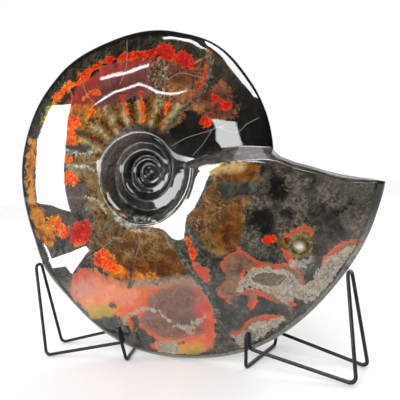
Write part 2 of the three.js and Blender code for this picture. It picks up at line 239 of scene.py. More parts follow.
MARKINGS = {
    "black": marking(5, 2, [
        [(166, 131), (178, 112), (186, 108), (200, 118), (212, 122), (216, 96), (228, 84), (240, 84),
         (262, 96), (274, 118), (276, 150), (240, 147), (205, 153), (188, 165), (182, 186), (174, 196),
         (168, 186), (178, 160), (176, 146)],
        [(250, 212), (262, 206), (272, 214), (271, 232), (258, 236), (247, 224)],
        [(270, 180), (288, 174), (292, 186), (284, 200), (268, 196)],
    ], [
        (1.2, [(360, 206), (358, 220), (353, 236)]),
        (1, [(334, 214), (344, 208), (354, 198)]),
    ]),
    "mauve": marking(3, 1.5, [
        [(70, 132), (68, 112), (74, 92), (78, 84), (90, 76), (104, 66), (120, 60), (140, 58), (152, 62),
         (158, 80), (152, 100), (138, 99), (124, 101), (110, 108), (98, 116), (86, 118), (80, 128)],
    ]),
    "amber": marking(4, 1.5, [
        [(151, 58), (162, 54), (178, 58), (184, 52), (196, 62), (204, 58), (210, 52), (212, 64), (207, 80),
         (203, 92), (192, 104), (182, 114), (174, 126), (166, 133), (158, 126), (150, 110), (152, 80)],
        [(184, 108), (200, 96), (212, 88), (220, 82), (230, 90), (234, 104), (236, 116), (226, 120),
         (212, 120), (204, 118), (196, 110)],
    ]),
    "tan_column": marking(3, 1, [
        [(150, 62), (158, 57), (166, 62), (168, 76), (166, 92), (158, 98), (151, 90), (149, 74)],
    ], [
        (1.3, [(164, 60), (165, 80), (164, 110), (161, 130)]),
        (2, [(155, 92), (154, 112), (152, 130)]),
    ]),
    "umber": marking(4, 5, [
        [(168, 68), (182, 64), (196, 72), (190, 82), (176, 84), (168, 78)],
        [(96, 94), (118, 84), (138, 78), (146, 84), (130, 92), (112, 100), (98, 106)],
        [(200, 88), (212, 86), (216, 98), (206, 104), (198, 98)],
        [(208, 94), (220, 88), (231, 94), (234, 106), (228, 116), (216, 118), (207, 110)],
    ]),
    "ribs": marking(4, 2, [
        [(78, 152), (74, 140), (86, 128), (98, 120), (106, 108), (118, 104), (134, 102), (148, 96),
         (158, 94), (164, 112), (178, 104), (182, 112), (172, 124), (164, 133), (150, 131), (134, 128),
         (122, 132), (112, 140), (105, 152), (104, 164), (94, 162), (84, 158)],
    ]),
    "nacre": marking(3, 1, [
        [(53, 107), (54, 97), (61, 88), (69, 83), (75, 81), (81, 73), (91, 67), (101, 61), (111, 57),
         (121, 54), (133, 53), (145, 52), (153, 49), (161, 46), (169, 46), (174, 52), (173, 59), (166, 60),
         (158, 57), (148, 58), (137, 59), (125, 61), (114, 62), (104, 65), (96, 70), (88, 76), (80, 83),
         (72, 88), (64, 93), (58, 102)],
        [(176, 62), (180, 53), (186, 52), (194, 63), (194, 69), (186, 68), (180, 66)],
        [(65, 144), (66, 122), (71, 115), (78, 117), (81, 123), (75, 130), (80, 138), (74, 144)],
        [(86, 112), (92, 107), (96, 110), (90, 115)],
        [(42, 124), (43, 115), (48, 108), (52, 111), (48, 120), (44, 126)],
        [(44, 224), (48, 217), (56, 216), (63, 223), (70, 231), (64, 238), (52, 231)],
        [(71, 241), (70, 228), (77, 222), (87, 221), (91, 229), (87, 240), (80, 246)],
        [(63, 184), (64, 173), (71, 172), (79, 182), (72, 185)],
        [(64, 163), (65, 157), (74, 158), (70, 163)],
        [(94, 262), (96, 252), (104, 247), (111, 254), (117, 263), (122, 272), (110, 271), (102, 268)],
        [(186, 238), (191, 240), (196, 254), (193, 262), (189, 252)],
        [(220, 104), (226, 101), (231, 104), (229, 109), (222, 109)],
        [(202, 118), (207, 118), (210, 124), (206, 127), (202, 123)],
        [(212, 96), (217, 95), (219, 100), (214, 102)],
        [(263, 241), (268, 236), (275, 236), (275, 241), (270, 246), (267, 246)],
    ], [
        (1.2, [(141, 92), (142, 104), (143, 120)]),
        (1.3, [(169, 100), (166, 114), (162, 128)]),
        (1, [(121, 96), (124, 104), (128, 112)]),
        (1.2, [(206, 70), (205, 82), (200, 92)]),
        (1.1, [(84, 98), (92, 92), (100, 94)]),
        (1.4, [(215, 318), (218, 328), (217, 334)]),
    ]),
    "orange_band": marking(3, 2.5, [
        [(104, 262), (112, 261), (122, 268), (134, 273), (148, 275), (158, 277), (150, 280), (136, 282),
         (120, 280), (106, 273)],
    ]),
    "red_glow": marking(4, 4, [
        [(72, 92), (84, 84), (96, 74), (108, 67), (122, 64), (136, 62), (150, 60), (148, 66), (132, 69),
         (116, 72), (104, 80), (94, 88), (98, 98), (92, 108), (82, 112), (72, 114), (68, 102)],
    ]),
    "gold_glow": marking(4, 3, [
        [(68, 116), (76, 108), (90, 105), (100, 108), (98, 118), (88, 124), (82, 136), (72, 146),
         (66, 138)],
    ]),
    "edge_amber": marking(3, 1.5, [
        [(29, 141), (33, 140), (37, 144), (36, 160), (34, 180), (35, 200), (42, 212), (50, 226), (56, 236),
         (50, 246), (42, 242), (36, 230), (31, 214), (28, 198), (26, 180), (27, 160)],
    ]),
    "olive": marking(5, 2, [
        [(68, 156), (84, 154), (104, 162), (108, 178), (116, 190), (126, 198), (130, 208), (124, 222),
         (114, 238), (100, 252), (92, 244), (96, 226), (90, 212), (84, 204), (88, 192), (80, 184),
         (70, 172)],
    ]),
    "grey_mauve": marking(2, 1.2, [
        [(64, 186), (74, 182), (84, 184), (88, 194), (82, 206), (74, 214), (67, 206)],
        [(45, 214), (50, 207), (58, 206), (68, 213), (73, 219), (74, 230), (66, 227), (58, 218), (50, 217)],
    ]),
    "brown": marking(3, 1.5, [
        [(92, 236), (104, 222), (116, 212), (121, 218), (113, 236), (100, 248), (91, 252), (88, 246)],
        [(110, 244), (118, 232), (130, 227), (148, 224), (160, 227), (170, 233), (176, 246), (181, 260),
         (184, 270), (176, 277), (150, 280), (130, 276), (116, 264), (104, 250)],
        [(187, 216), (195, 210), (203, 196), (210, 184), (222, 182), (236, 184), (232, 196), (248, 196),
         (250, 206), (243, 222), (240, 240), (228, 256), (216, 256), (204, 246), (196, 236), (190, 226)],
        [(276, 238), (286, 231), (298, 228), (308, 230), (312, 238), (312, 250), (306, 257), (292, 259),
         (283, 254), (278, 246)],
        [(214, 180), (216, 172), (240, 172), (246, 162), (256, 163), (261, 172), (254, 180), (238, 184),
         (222, 184)],
    ]),
    "brown_deep": marking(3, 4, [
        [(112, 258), (130, 262), (150, 258), (170, 262), (184, 266), (185, 274), (176, 277), (150, 280),
         (130, 277), (118, 268)],
        [(222, 214), (232, 206), (240, 212), (240, 232), (230, 246), (218, 248), (214, 236)],
        [(220, 174), (240, 173), (250, 164), (257, 166), (256, 176), (238, 182), (224, 182)],
    ]),
    "cream_top": marking(3, 2, [
        [(208, 176), (212, 167), (226, 162), (244, 161), (248, 168), (240, 173), (224, 174)],
    ]),
    "pearl_pink": marking(2.6, 1, [
        [(68, 290), (70, 280), (78, 270), (90, 268), (104, 274), (124, 282), (150, 285), (172, 282),
         (186, 280), (198, 286), (207, 297), (213, 310), (216, 322), (210, 338), (192, 342), (172, 345),
         (156, 341), (140, 334), (128, 326), (118, 316), (104, 312), (94, 316), (84, 308), (76, 299)],
        [(192, 268), (198, 264), (206, 267), (211, 276), (208, 284), (200, 279)],
    ]),
    "red_flow": marking(2.6, 1, [
        [(222, 262), (238, 250), (248, 254), (262, 262), (284, 263), (298, 269), (305, 280), (301, 289),
         (293, 280), (282, 271), (262, 268), (248, 272), (240, 285), (256, 289), (276, 293), (292, 301),
         (297, 306), (284, 307), (264, 297), (257, 294), (256, 302), (251, 311), (246, 305), (249, 297),
         (240, 296), (234, 304), (226, 300), (215, 290), (224, 280)],
        [(230, 333), (240, 330), (248, 321), (262, 315), (282, 316), (268, 321), (252, 328), (242, 337)],
        [(282, 250), (288, 252), (292, 259), (302, 260), (310, 254), (308, 262), (294, 265), (285, 259)],
        [(284, 236), (292, 230), (302, 226), (311, 226), (313, 233), (304, 231), (294, 235), (288, 240)],
        [(321, 264), (332, 250), (346, 242), (360, 238), (366, 240), (356, 247), (342, 252), (332, 258)],
    ]),
    "fringe": marking(2, 1.5, [
        [(90, 317), (98, 312), (106, 310), (115, 315), (108, 319), (98, 320)],
        [(150, 346), (158, 338), (174, 343), (192, 340), (206, 335), (217, 333), (214, 343), (208, 350),
         (192, 354), (172, 355), (158, 352)],
    ]),
    # A lighter salmon patch on the pink nacre: a painted highlight
    "salmon_painted_highlight": marking(3, 5, [
        [(72, 291), (78, 279), (90, 274), (106, 279), (124, 287), (138, 292), (132, 302), (116, 304),
         (100, 300), (86, 303)],
    ]),
    "olive_mist": marking(2, 3, [
        [(128, 280), (150, 279), (172, 277), (188, 277), (197, 285), (190, 289), (160, 287), (134, 286)],
    ]),
    "smoky": marking(5, 4, [
        [(150, 296), (162, 288), (178, 285), (192, 288), (198, 298), (194, 308), (200, 320), (206, 332),
         (186, 338), (168, 340), (152, 334), (140, 322), (146, 310)],
    ]),
    "dark_grey": marking(3, 1.2, [
        [(92, 321), (104, 318), (118, 319), (125, 326), (130, 338), (122, 342), (108, 334)],
        [(212, 262), (222, 270), (226, 280), (216, 290), (222, 300), (232, 306), (246, 302), (252, 312),
         (264, 300), (280, 304), (290, 310), (262, 314), (246, 320), (240, 329), (228, 332), (222, 344),
         (218, 330), (214, 306), (208, 290), (212, 278)],
        [(248, 246), (260, 243), (274, 250), (286, 258), (278, 263), (260, 261), (250, 255)],
        [(296, 262), (308, 262), (322, 268), (318, 280), (304, 276)],
        [(232, 300), (240, 294), (248, 296), (247, 306), (238, 310)],
        [(217, 186), (226, 181), (240, 184), (252, 183), (250, 190), (238, 194), (228, 200), (220, 197)],
        [(110, 304), (114, 302), (116, 306), (112, 309)],
    ], [
        (1.3, [(131, 264), (131, 276), (130, 287)]),
        (3.2, [(134, 319), (138, 328), (146, 336), (154, 341)]),
        (2.4, [(78, 133), (84, 134)]),
        (2.2, [(66, 147), (76, 149), (88, 148)]),
    ]),
    "cream_mottle": marking(3, 1, [
        [(238, 291), (245, 274), (258, 268), (282, 270), (293, 275), (299, 286), (294, 299), (282, 300),
         (270, 292), (252, 288)],
        [(322, 268), (330, 258), (344, 251), (362, 245), (354, 256), (340, 268), (330, 280), (318, 296),
         (304, 302), (297, 292), (310, 280)],
        [(234, 338), (248, 330), (262, 322), (282, 318), (276, 327), (262, 337), (246, 346), (238, 344)],
        [(154, 344), (160, 341), (172, 344), (180, 347), (176, 353), (162, 353)],
        [(183, 325), (190, 326), (195, 333), (190, 336), (185, 331)],
        [(291, 262), (310, 257), (312, 263), (296, 268)],
    ], [
        (0.9, [(124, 323), (130, 314), (140, 310), (150, 309), (160, 311)]),
        (0.2, [(160, 311), (168, 320), (180, 327), (194, 332)]),
        (0.9, [(186, 322), (196, 322), (204, 317)]),
    ]),
    "haze": marking(5, 3, [
        [(272, 168), (284, 172), (304, 174), (308, 186), (296, 192), (286, 186), (282, 176)],
        [(246, 210), (254, 198), (264, 196), (268, 204), (256, 208), (248, 218)],
        [(292, 196), (306, 198), (308, 212), (298, 220), (288, 210)],
        [(322, 186), (336, 184), (342, 200), (330, 206), (320, 198)],
        [(248, 232), (256, 228), (260, 236), (254, 244), (246, 240)],
        [(280, 224), (296, 220), (306, 224), (292, 232), (280, 236)],
        [(353, 212), (363, 208), (366, 226), (360, 240), (350, 236)],
    ]),
    "pale_streaks": marking(2, 1.2, [], [
        (1.2, [(114, 214), (122, 222), (134, 226)]),
        (1, [(122, 206), (134, 215), (150, 219), (158, 224)]),
        (0.8, [(118, 200), (126, 210), (138, 220), (148, 226)]),
        (1.4, [(126, 226), (138, 230), (150, 232)]),
        (0.8, [(66, 150), (80, 154), (96, 152)]),
        (0.8, [(66, 166), (82, 166), (96, 172), (104, 184)]),
        (0.8, [(84, 196), (96, 200), (106, 212)]),
    ]),
    "cream_heart": marking(2, 1, [
        [(250, 279), (262, 272), (282, 273), (287, 278), (277, 286), (262, 286)],
    ]),
    "suture": marking(1.6, 1, [], [
        (1.6, [(208, 55), (211, 66), (208, 78), (204, 90), (192, 102), (180, 112), (172, 124), (166, 134)]),
        (2.2, [(160, 226), (170, 236), (178, 250), (186, 263), (196, 276), (206, 287), (213, 300),
               (218, 314), (221, 328), (216, 342)]),
        (1.5, [(184, 220), (191, 236), (198, 250), (208, 260), (214, 268), (213, 279), (206, 287)]),
        (1.3, [(69, 292), (71, 274), (79, 258), (91, 246), (103, 234), (115, 216), (121, 208)]),
        (1, [(70, 238), (73, 224), (82, 210), (86, 202)]),
        (1.2, [(130, 336), (121, 324), (114, 316)]),
        (1.2, [(312, 262), (317, 244), (314, 228), (302, 222), (290, 228)]),
        (1, [(222, 332), (230, 340), (240, 348)]),
    ]),
    "pearl_ring": marking(1, 1, [], [
        (1.6, [(289, 246), (292, 238), (300, 235), (308, 238), (311, 246), (308, 254), (300, 257),
               (292, 254), (289, 246)]),
    ]),
    "pearl": marking(0.8, 0.8, [
        [(292, 247), (294, 241), (300, 239), (306, 242), (307, 248), (303, 253), (296, 253)],
    ]),
}

# Thin pale veins, in pixels of the photograph
VEINS = [
    [(172, 146), (186, 138), (205, 132), (216, 128), (225, 125)],
    [(193, 155), (203, 144), (212, 130)],
    [(216, 126), (228, 131), (238, 132), (247, 124), (258, 118)],
    [(127, 40), (127, 58), (125, 72), (120, 84)],
    [(164, 60), (165, 80), (164, 100)],
    [(168, 80), (180, 73), (200, 77)],
    [(83, 84), (88, 96), (96, 104)],
    [(88, 258), (100, 250), (112, 240)],
    [(156, 336), (172, 341), (190, 337), (206, 334)],
    [(68, 86), (72, 96), (71, 104)],
    [(282, 271), (285, 276), (277, 282), (275, 288), (262, 289)],
    [(134, 226), (140, 240), (136, 256)],
    [(150, 236), (162, 232), (170, 246)],
]

# Spots that turn the nacre's colour from crimson (0) to yellow-green (1): place, reach in pixels, value
NACRE_HUES = [
    ((60, 92), 16, 0.42), ((44, 116), 12, 0.85), ((90, 72), 14, 0.24), ((128, 58), 20, 0.12),
    ((165, 52), 16, 0.02), ((186, 60), 14, 0.05), ((70, 134), 14, 0.4), ((84, 112), 12, 0.4),
    ((56, 222), 12, 0.5), ((80, 232), 14, 0.08), ((80, 246), 5, 0.7), ((70, 176), 10, 0.35),
    ((102, 258), 16, 0.3), ((130, 275), 18, 0.6), ((170, 277), 26, 0.5), ((192, 252), 12, 0.2),
    ((226, 105), 8, 0.02), ((206, 122), 6, 0.12), ((270, 240), 10, 0.15), ((110, 290), 26, 0.42),
    ((82, 285), 16, 0.25), ((92, 309), 10, 0.72), ((140, 296), 20, 0.34), ((206, 300), 18, 0.12),
    ((216, 322), 14, 0.25), ((185, 284), 20, 0.14), ((134, 326), 14, 0.4), ((200, 272), 12, 0.12),
    ((240, 300), 40, 0.25), ((340, 248), 30, 0.08), ((300, 240), 20, 0.16), ((104, 314), 10, 1),
    ((198, 340), 13, 0.38), ((196, 351), 9, 1), ((178, 351), 8, 0.7), ((213, 343), 8, 0.3),
]
HUE_ELSEWHERE = 0.3
HUE_ELSEWHERE_WEIGHT = 1e-4
HUE_SPREAD = 0.6
CURVE_STEPS = 4
EDGE_PUSH = 9
FAR_OFF = 99.0
TINY = 1e-12


def curve_through(points, closed):
    """Points along a smooth curve through these."""
    points = np.array(points, float)
    count = len(points)
    spans = count if closed else count - 1
    pick = (lambda i: points[i % count]) if closed else (lambda i: points[min(max(i, 0), count - 1)])
    line = []
    for i in range(spans):
        before, start, end, after = (pick(i + k) for k in (-1, 0, 1, 2))
        for t in np.arange(CURVE_STEPS) / CURVE_STEPS:
            line.append(0.5 * (
                2 * start + (end - before) * t + (2 * before - 5 * start + 4 * end - after) * t ** 2
                + (3 * start - before - 3 * end + after) * t ** 3
            ))
    line.append(line[0] if closed else points[-1])
    return np.array(line)


def offset_from_line(x, y, line):
    """Distance from each place to a line of points, and the signed offset to its nearest stretch."""
    near = np.full(x.shape, np.inf)
    signed = np.zeros(x.shape)
    for (ax, ay), (bx, by) in zip(line[:-1], line[1:]):
        dx, dy = bx - ax, by - ay
        along = np.clip(((x - ax) * dx + (y - ay) * dy) / (dx * dx + dy * dy + TINY), 0, 1)
        ox, oy = x - ax - along * dx, y - ay - along * dy
        distance = np.hypot(ox, oy)
        closer = distance < near
        near = np.where(closer, distance, near)
        signed = np.where(closer, np.sign(dx * oy - dy * ox) * distance, signed)
    return near, signed


def inside_outline(x, y, line):
    inside = np.zeros(x.shape, bool)
    for (ax, ay), (bx, by) in zip(line[:-1], line[1:]):
        crosses = ((ay > y) != (by > y)) & (x < (bx - ax) * (y - ay) / (by - ay + TINY) + ax)
        inside ^= crosses
    return inside


def marking_depth(x, y, marking):
    """How far inside a marking each place is, in pixels, negative outside."""
    depth = np.full(x.shape, -FAR_OFF)
    for outline in marking["outlines"]:
        line = curve_through(outline, closed=True)
        near, _ = offset_from_line(x, y, line)
        depth = np.maximum(depth, np.where(inside_outline(x, y, line), near, -near))
    for half_width, stroke in marking["strokes"]:
        near, _ = offset_from_line(x, y, curve_through(stroke, closed=False))
        depth = np.maximum(depth, half_width - near)
    return depth


def vein_offset(x, y):
    """Distance to the nearest stretch of a vein, and the signed offset from it."""
    near = np.full(x.shape, FAR_OFF)
    signed = np.full(x.shape, FAR_OFF)
    for vein in VEINS:
        one_near, one_signed = offset_from_line(x, y, curve_through(vein, closed=False))
        closer = one_near < near
        near = np.where(closer, one_near, near)
        signed = np.where(closer, one_signed, signed)
    return near, signed


def nacre_hue(x, y):
    total = np.full(x.shape, HUE_ELSEWHERE_WEIGHT)
    value = total * HUE_ELSEWHERE
    for (cx, cy), reach, hue in NACRE_HUES:
        weight = np.exp(-((x - cx) ** 2 + (y - cy) ** 2) / (2 * (HUE_SPREAD * reach) ** 2))
        total += weight
        value += weight * hue
    return value / total


# Meshes

BACK_WANDER = 9
BACK_WANDER_SPAN = 38
BACK_WANDER_DEPTH = 8


def marking_places(points, side):
    """Where in the photograph to look a vertex's markings up. The back uses its mirror place, wandering."""
    seen = points.copy()
    if side > 0:
        seen[:, 1] = 2 * AXIS_Y - seen[:, 1]
        u, v = points[:, 0], points[:, 2]
        deep = np.clip(np.abs(points[:, 1] - AXIS_Y) / BACK_WANDER_DEPTH, 0, 1)
        seen[:, 0] += BACK_WANDER * deep * np.sin(v / BACK_WANDER_SPAN + 1)
        seen[:, 2] += BACK_WANDER * deep * np.sin(u / BACK_WANDER_SPAN)
    return to_pixels(seen)


def add_float(mesh, name, values):
    layer = mesh.attributes.new(name, "FLOAT", "POINT")
    layer.data.foreach_set("value", np.asarray(values, np.float32))


def mesh_object(name, points_mm, faces, face_slots=None):
    mesh = bpy.data.meshes.new(name)
    mesh.from_pydata((np.asarray(points_mm) * MM).tolist(), [], faces)
    if face_slots is not None:
        mesh.polygons.foreach_set("material_index", np.asarray(face_slots, np.int32))
    mesh.polygons.foreach_set("use_smooth", np.ones(len(mesh.polygons), bool))
    mesh.update()
    obj = bpy.data.objects.new(name, mesh)
    bpy.context.scene.collection.objects.link(obj)
    return obj


def shell_point(radius, degrees, depth):
    """The place at a radius and angle round the coil's axis, and a depth behind its middle plane."""
    turned = np.radians(degrees)
    return np.stack([radius * np.cos(turned), depth, radius * np.sin(turned)], -1) + AXIS


def shell_side(side, rows, points, rim):
    """Adds one side's vertices to points and returns their numbers, line by line. The rim's are shared."""
    shared = int(np.sum(np.linspace(CENTRE_RADIUS, INNER_END, rows["inner"]) <= MOUTH_START_RADIUS))
    numbers = []
    for line in range(LINE_COUNT + 1):
        reference = NOTCH_ANGLE + (TIP_ANGLE - NOTCH_ANGLE) * line / LINE_COUNT
        radii = row_radii(reference, rows)
        angle = line_angle(reference, radii)
        here = shell_point(radii, angle, side * half_thickness(radii, angle))
        first = len(points)
        row = list(range(first, first + len(radii)))
        if line == LINE_COUNT:
            row = numbers[0][:shared] + list(range(first, first + len(radii) - shared))
            here = here[shared:]
        if side > 0:
            row[-1] = rim[line]
            here = here[:-1]
        points.extend(here.tolist())
        numbers.append(row)
    return numbers, shared


def shell_faces(numbers, side, centre):
    faces = []
    for here, beyond in zip(numbers[:-1], numbers[1:]):
        faces.append((centre, here[0], beyond[0]))
        for row in range(len(here) - 1):
            corners = (here[row], here[row + 1], beyond[row + 1], beyond[row])
            if corners[0] == corners[3]:
                corners = corners[:3]
            faces.append(corners)
    return faces if side < 0 else [face[::-1] for face in faces]


def mouth_faces(edge, foot, points, side):
    """Faces of the mouth between its edge and its foot, which share their first and last vertices."""
    def reach(number):
        right, _, up = points[number] - AXIS
        return np.hypot(right, up)

    faces = [(edge[0], edge[1], foot[1])]
    i = j = 1
    while i < len(edge) - 2 or j < len(foot) - 2:
        foot_done = j >= len(foot) - 2
        if i < len(edge) - 2 and (foot_done or reach(edge[i + 1]) <= reach(foot[j + 1])):
            faces.append((edge[i], edge[i + 1], foot[j]))
            i += 1
        else:
            faces.append((edge[i], foot[j + 1], foot[j]))
            j += 1
    faces.append((edge[i], edge[i + 1], foot[j]))
    return faces if side < 0 else [face[::-1] for face in faces]


def add_marking_places(mesh, points, sides):
    """Keeps at each vertex how deep it lies in each marking, and where it is on the coil."""
    x, y = to_pixels(points)
    for side, start, end in sides:
        x[start:end], y[start:end] = marking_places(points[start:end], side)
    for name, group in MARKINGS.items():
        add_float(mesh, name, marking_depth(x, y, group))
    near, signed = vein_offset(x, y)
    add_float(mesh, "vein_near", near)
    add_float(mesh, "vein_side", signed)
    add_float(mesh, "nacre_hue", nacre_hue(x, y))
    u, _, v = (points - AXIS).T
    radius, turn = np.hypot(u, v), np.degrees(np.arctan2(v, u)) % 360
    turn = np.where(turn < degrees_at(MOUTH_EDGE, radius), turn + 360, turn)
    add_float(mesh, "turn", turn)
    add_float(mesh, "reach", radius)
    add_float(mesh, "rim_depth", rim_radius(turn) - radius)


def make_ammonite():
    points, faces, mouth, sides = [], [], [], []
    rim = None
    foot_middle = []
    for side, rows in ((-1, FRONT_ROWS), (1, BACK_ROWS)):
        start = len(points)
        numbers, shared = shell_side(side, rows, points, rim)
        centre = len(points)
        points.append(shell_point(0, 0, side * half_thickness(CENTRE_RADIUS, 0)).tolist())
        faces += shell_faces(numbers, side, centre)
        sides.append((side, start, len(points)))
        if side < 0:
            rim = [row[-1] for row in numbers]
            for radius, degrees in MOUTH_FOOT[:-1]:
                if radius > rim_radius(NOTCH_ANGLE):
                    foot_middle.append(len(points))
                    points.append(shell_point(radius, degrees, 0).tolist())
        edge = numbers[-1][shared - 1:]
        foot = numbers[0][shared - 1:] + foot_middle + [edge[-1]]
        mouth += mouth_faces(edge, foot, points, side)
    obj = mesh_object("ammonite_shell", points, faces + mouth, [0] * len(faces) + [1] * len(mouth))
    add_marking_places(obj.data, np.array(points), sides)
    return obj


def wire_corners(stand):
    """The corners of a stand's closed centre line, each with the radius of its bend."""
    half = [(reach, width, height, bend, PRONG_FORWARD) for reach, width, height, bend in PRONG_CORNERS]
    arch_reach, arch_height = stand["arch"]
    half.append((0, FOOT_HALF_WIDTH, FOOT_CORNER_HEIGHT, FOOT_BEND, 0))
    half.append((arch_reach, ARCH_HALF_WIDTH, arch_height, ARCH_BEND, 0))
    corners = [(Vector((-r, w - forward, h)), bend) for r, w, h, bend, forward in half]
    return corners + [(Vector((-r, -w - forward, h)), bend) for r, w, h, bend, forward in reversed(half)]


def bent_line(corners):
    """Places and directions along the centre line, from the middle of the wire that joins the prongs."""
    line = [(Vector((-PRONG_CORNERS[0][0], -PRONG_FORWARD, WIRE_RADIUS)), Vector((0, 1, 0)))]
    for i, (at, bend) in enumerate(corners):
        back = (corners[i - 1][0] - at).normalized()
        forward = (corners[(i + 1) % len(corners)][0] - at).normalized()
        between = back.angle(forward)
        centre = at + (back + forward).normalized() * bend / np.sin(between / 2)
        spoke = at + back * bend / np.tan(between / 2) - centre
        axis = -back.cross(forward).normalized()
        for step in range(BEND_STEPS + 1):
            turned = Matrix.Rotation((np.pi - between) * step / BEND_STEPS, 3, axis)
            line.append((centre + turned @ spoke, turned @ -back))
    return line


def carried_normals(line):
    """A normal at each place, carried along the closed line, and the twist left over where it closes."""
    normals = [Vector((0, 0, -1))]
    for i in range(1, len(line) + 1):
        turn = line[i - 1][1].rotation_difference(line[i % len(line)][1])
        normals.append(turn @ normals[-1])
    across = line[0][1].cross(normals[0])
    return normals, np.arctan2(normals[-1].dot(across), normals[-1].dot(normals[0]))


def make_stand(stand):
    """Round wire swept along the stand's centre line, each place's ring turned a little to close it."""
    line = bent_line(wire_corners(stand))
    normals, twist = carried_normals(line)
    count = len(line)
    sine, cosine = np.sin(np.radians(stand["turn"])), np.cos(np.radians(stand["turn"]))
    points = []
    for i, (at, direction) in enumerate(line):
        side = direction.cross(normals[i])
        for k in range(WIRE_SIDES):
            around = 2 * np.pi * k / WIRE_SIDES - twist * i / count
            p = at + (normals[i] * np.cos(around) + side * np.sin(around)) * WIRE_RADIUS
            x = p.x * stand["side"]
            points.append([
                stand["x"] + cosine * x - sine * p.y + STAND_SHIFT[0],
                stand["y"] + sine * x + cosine * p.y + STAND_SHIFT[1],
                p.z,
            ])
    faces = []
    for i in range(count):
        for k in range(WIRE_SIDES):
            a, b = i * WIRE_SIDES + k, i * WIRE_SIDES + (k + 1) % WIRE_SIDES
            beyond = ((i + 1) % count - i) * WIRE_SIDES
            face = (a, b, b + beyond, a + beyond)
            faces.append(face if stand["side"] > 0 else face[::-1])
    return mesh_object(stand["name"] + "_wire", points, faces)


# Materials. A pair is the value that counts as 0 and the one that counts as 1. Places that the shader finds
# itself, of the low rock, the mouth, the tip, the bottom and the dark reflection sheet, are in metres.
# Borders and veins are in pixels of the photograph, the reach of coils and rim in millimetres, and turns in
# degrees.

NOISE_MIDDLE = 0.5
BORDER_EDGE = (1.1, 0.4)
BORDER_STRENGTH = 0.75
LOW_ROCK_HEIGHT = (0.178, 0.135)
MOUTH_SIDE = (0.03, 0.075)
TIP_SIDE = (0.07, 0.12)
HALF_TURN = 180
RADIAL_PER_DEGREE = 0.42
RADIAL_PER_MM = 0.035
RIB_PITCH = 0.4
RIB_BEND = 9
RIB_BREAKS = 4
# Where the painted grey mauve highlight lies on the inner coils
COILS_SHINE_ANGLE = 140
COILS_SHINE_EDGE = (75, 30)
COILS_SHINE_REACH = (15, 24)
COILS_REACH = (37, 33)
COILS_WANDER = 8
VEIN_EDGE = (0.6, 0.2)
VEIN_NEAR = (2.4, 1.6)
RIM_WANDER = 6
RIM_BOTTOM = (0.115, 0.09)
# The pale band along the bottom of the rim is a painted reflection of the bright floor
RIM_FLOOR_REFLECTION = (4.2, 3.6)
RIM_DARK_INSIDE = (5, 4.4)
RIM_DARK_OUTSIDE = (3.4, 4)
RIM_BLACK = (7, 4.5)
POLISHED = (-0.6, 2.2)
COAT_IN_COILS = 0.45
COAT_FULL_REACH = (32, 40)
# The dark sheet on the table in front is seen only in reflections, where it paints shade into the shell's
# reflections
SHEET_EDGE_SLOPE = 0.22
SHEET_TIP = 0.15
SHEET_TIP_SLOPE = 0.75
SHEET_FADE = (-0.102, -0.136)


def linear(hex_colour):
    """A colour written as 0xRRGGBB, as Blender's linear red, green, blue and alpha."""
    parts = [((hex_colour >> shift) & 255) / 255 for shift in (16, 8, 0)]
    return [c / 12.92 if c <= 0.04045 else ((c + 0.055) / 1.055) ** 2.4 for c in parts] + [1]


